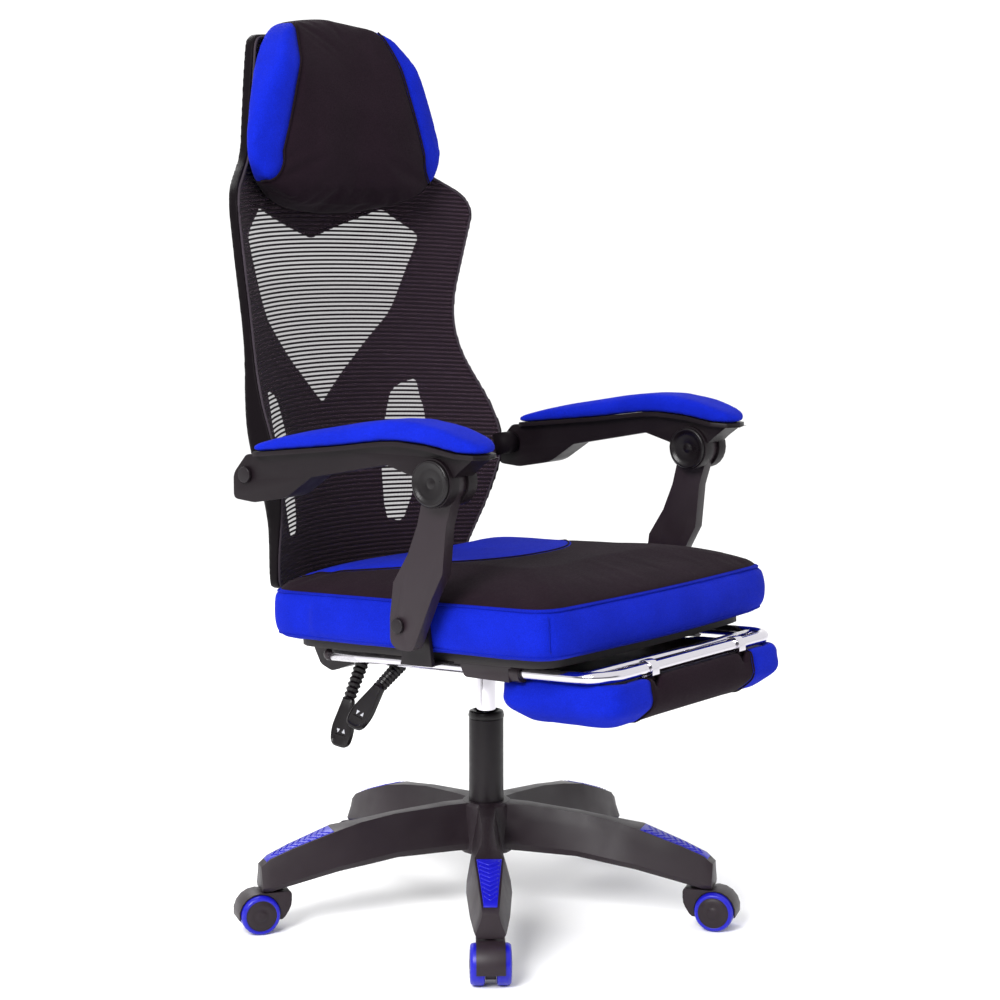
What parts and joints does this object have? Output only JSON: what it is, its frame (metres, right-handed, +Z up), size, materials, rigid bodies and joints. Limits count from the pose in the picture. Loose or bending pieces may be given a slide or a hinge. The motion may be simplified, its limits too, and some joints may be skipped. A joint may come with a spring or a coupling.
{
  "type": "gaming chair",
  "caption": "Reclining gaming chair with a ribbed mesh back, padded headrest, linked armrests, slide-out footrest and gas lift on a star base.",
  "frame": {"origin": "centre of the bounding box on the floor", "axes": "+Z up, the chair faces -Y, +X is to the right of a viewer who stands in front of the chair"},
  "size_m": [0.6934, 0.7302, 1.279],
  "materials": {
    "black_plastic": "fine moulded grain, soft highlights",
    "blue_plastic": "satin violet-blue",
    "black_steel": "black powder coat",
    "chrome": "polished",
    "black_fabric": "fine warm black weave",
    "blue_fabric": "royal blue knit",
    "mesh_fabric": "ribbed open mesh",
    "board": "dark stained plywood"
  },
  "bodies": {
    "base": {"star_base": "black_plastic", "base_trim_1": "blue_plastic", "base_trim_2": "blue_plastic", "base_trim_3": "blue_plastic", "base_trim_4": "blue_plastic", "base_trim_5": "blue_plastic", "gas_tube": "black_steel", "tube_bush": "black_plastic"},
    "lift": {"gas_cylinder": "chrome"},
    "valve": {"valve_button": "black_steel"},
    "seat": {"mechanism_housing": "black_steel", "seat_board": "board", "seat_cushion": "black_fabric", "rear_support": "black_steel", "recline_pin": "chrome", "footrest_guide_left": "black_plastic", "footrest_guide_right": "black_plastic", "arm_bracket_left": "black_steel", "arm_bracket_right": "black_steel", "arm_lower_bolt_left": "black_steel", "arm_lower_bolt_right": "black_steel"},
    "height_lever": {"height_lever": "black_plastic"},
    "recline_lever": {"recline_lever": "black_plastic"},
    "back": {"back_shell": "black_plastic", "back_mesh": "mesh_fabric", "headrest": "black_fabric", "back_hinge": "black_steel", "arm_rear_bolt_left": "black_steel", "arm_rear_bolt_right": "black_steel"},
    "footrest_slider": {"footrest_frame": "chrome"},
    "footrest": {"footrest_board": "black_plastic", "footrest_pad": "blue_fabric"},
    "arm_link_left": {"arm_post_left": "black_plastic"},
    "armrest_left": {"arm_beam_left": "black_plastic", "arm_pad_left": "blue_fabric", "arm_knuckle_pin_left": "black_plastic"},
    "arm_link_right": {"arm_post_right": "black_plastic"},
    "armrest_right": {"arm_beam_right": "black_plastic", "arm_pad_right": "blue_fabric", "arm_knuckle_pin_right": "black_plastic"},
    "caster_1": {"caster_hood_1": "black_plastic", "caster_stem_1": "black_steel"},
    "wheel_1a": {"caster_wheel_1a": "blue_plastic"},
    "wheel_1b": {"caster_wheel_1b": "blue_plastic"},
    "caster_2": {"caster_hood_2": "black_plastic", "caster_stem_2": "black_steel"},
    "wheel_2a": {"caster_wheel_2a": "blue_plastic"},
    "wheel_2b": {"caster_wheel_2b": "blue_plastic"},
    "caster_3": {"caster_hood_3": "black_plastic", "caster_stem_3": "black_steel"},
    "wheel_3a": {"caster_wheel_3a": "blue_plastic"},
    "wheel_3b": {"caster_wheel_3b": "blue_plastic"},
    "caster_4": {"caster_hood_4": "black_plastic", "caster_stem_4": "black_steel"},
    "wheel_4a": {"caster_wheel_4a": "blue_plastic"},
    "wheel_4b": {"caster_wheel_4b": "blue_plastic"},
    "caster_5": {"caster_hood_5": "black_plastic", "caster_stem_5": "black_steel"},
    "wheel_5a": {"caster_wheel_5a": "blue_plastic"},
    "wheel_5b": {"caster_wheel_5b": "blue_plastic"}
  },
  "joints": [
    {"name": "height_slide", "type": "slide", "parent": "base", "child": "lift", "axis": [0, 0, 1], "range_m": [-0.075, 0.02]},
    {"name": "seat_swivel", "type": "hinge", "parent": "lift", "child": "seat", "pos_m": [-0.02, 0.0045, 0.365], "axis": [0, 0, 1], "continuous": true},
    {"name": "valve_press", "type": "slide", "parent": "lift", "child": "valve", "axis": [0, 0, -1], "range_m": [0, 0.0022]},
    {"name": "height_lever_lift", "type": "hinge", "parent": "seat", "child": "height_lever", "pos_m": [-0.05, 0.0085, 0.381], "axis": [0, 1, 0], "range_deg": [0, 4], "stiffness_Nm_per_rad": 3},
    {"name": "recline_lever_lift", "type": "hinge", "parent": "seat", "child": "recline_lever", "pos_m": [-0.05, 0.0705, 0.38], "axis": [0, 1, 0], "range_deg": [0, 4], "stiffness_Nm_per_rad": 3},
    {"name": "back_recline", "type": "hinge", "parent": "seat", "child": "back", "pos_m": [-0.02, 0.2395, 0.454], "axis": [-1, 0, 0], "range_deg": [0, 45]},
    {"name": "footrest_slide", "type": "slide", "parent": "seat", "child": "footrest_slider", "axis": [0, -0.999, 0.0454], "range_m": [0, 0.22]},
    {"name": "footrest_flip", "type": "hinge", "parent": "footrest_slider", "child": "footrest", "pos_m": [-0.02, -0.34723, 0.40995], "axis": [-1, 0, 0], "range_deg": [0, 180]},
    {"name": "arm_link_left_swing", "type": "hinge", "parent": "seat", "child": "arm_link_left", "pos_m": [-0.313, -0.0905, 0.465], "axis": [-1, 0, 0], "range_deg": [0, 45]},
    {"name": "armrest_left_level", "type": "hinge", "parent": "arm_link_left", "child": "armrest_left", "pos_m": [-0.313, -0.1605, 0.656], "axis": [-1, 0, 0], "range_deg": [-45, 0]},
    {"name": "arm_link_right_swing", "type": "hinge", "parent": "seat", "child": "arm_link_right", "pos_m": [0.273, -0.0905, 0.465], "axis": [-1, 0, 0], "range_deg": [0, 45]},
    {"name": "armrest_right_level", "type": "hinge", "parent": "arm_link_right", "child": "armrest_right", "pos_m": [0.273, -0.1605, 0.656], "axis": [-1, 0, 0], "range_deg": [-45, 0]},
    {"name": "caster_1_swivel", "type": "hinge", "parent": "base", "child": "caster_1", "pos_m": [-0.25989, -0.19185, 0.06], "axis": [0, 0, 1], "continuous": true},
    {"name": "wheel_1a_roll", "type": "hinge", "parent": "caster_1", "child": "wheel_1a", "pos_m": [-0.28156, -0.20958, 0.0275], "axis": [0.6334, -0.7738, 0], "continuous": true},
    {"name": "wheel_1b_roll", "type": "hinge", "parent": "caster_1", "child": "wheel_1b", "pos_m": [-0.28156, -0.20958, 0.0275], "axis": [0.6334, -0.7738, 0], "continuous": true},
    {"name": "caster_2_swivel", "type": "hinge", "parent": "base", "child": "caster_2", "pos_m": [0.09261, -0.28432, 0.06], "axis": [0, 0, 1], "continuous": true},
    {"name": "wheel_2a_roll", "type": "hinge", "parent": "caster_2", "child": "wheel_2a", "pos_m": [0.10278, -0.31041, 0.0275], "axis": [0.9317, 0.3633, 0], "continuous": true},
    {"name": "wheel_2b_roll", "type": "hinge", "parent": "caster_2", "child": "wheel_2b", "pos_m": [0.10278, -0.31041, 0.0275], "axis": [0.9317, 0.3633, 0], "continuous": true},
    {"name": "caster_3_swivel", "type": "hinge", "parent": "base", "child": "caster_3", "pos_m": [0.28949, 0.02235, 0.06], "axis": [0, 0, 1], "continuous": true},
    {"name": "wheel_3a_roll", "type": "hinge", "parent": "caster_3", "child": "wheel_3a", "pos_m": [0.31744, 0.02396, 0.0275], "axis": [-0.0576, 0.9983, 0], "continuous": true},
    {"name": "wheel_3b_roll", "type": "hinge", "parent": "caster_3", "child": "wheel_3b", "pos_m": [0.31744, 0.02396, 0.0275], "axis": [-0.0576, 0.9983, 0], "continuous": true},
    {"name": "caster_4_swivel", "type": "hinge", "parent": "base", "child": "caster_4", "pos_m": [0.05867, 0.30435, 0.06], "axis": [0, 0, 1], "continuous": true},
    {"name": "wheel_4a_roll", "type": "hinge", "parent": "caster_4", "child": "wheel_4a", "pos_m": [0.06577, 0.33144, 0.0275], "axis": [-0.9673, 0.2538, 0], "continuous": true},
    {"name": "wheel_4b_roll", "type": "hinge", "parent": "caster_4", "child": "wheel_4b", "pos_m": [0.06577, 0.33144, 0.0275], "axis": [-0.9673, 0.2538, 0], "continuous": true},
    {"name": "caster_5_swivel", "type": "hinge", "parent": "base", "child": "caster_5", "pos_m": [-0.28087, 0.17197, 0.06], "axis": [0, 0, 1], "continuous": true},
    {"name": "wheel_5a_roll", "type": "hinge", "parent": "caster_5", "child": "wheel_5a", "pos_m": [-0.30443, 0.1871, 0.0275], "axis": [-0.5402, -0.8415, 0], "continuous": true},
    {"name": "wheel_5b_roll", "type": "hinge", "parent": "caster_5", "child": "wheel_5b", "pos_m": [-0.30443, 0.1871, 0.0275], "axis": [-0.5402, -0.8415, 0], "continuous": true}
  ],
  "couplings": [
    {"joint": "valve_press", "follows": "height_lever_lift", "m_per_rad": 0.03},
    {"joint": "arm_link_left_swing", "follows": "back_recline", "ratio": 1},
    {"joint": "armrest_left_level", "follows": "back_recline", "ratio": -1},
    {"joint": "arm_link_right_swing", "follows": "back_recline", "ratio": 1},
    {"joint": "armrest_right_level", "follows": "back_recline", "ratio": -1}
  ]
}
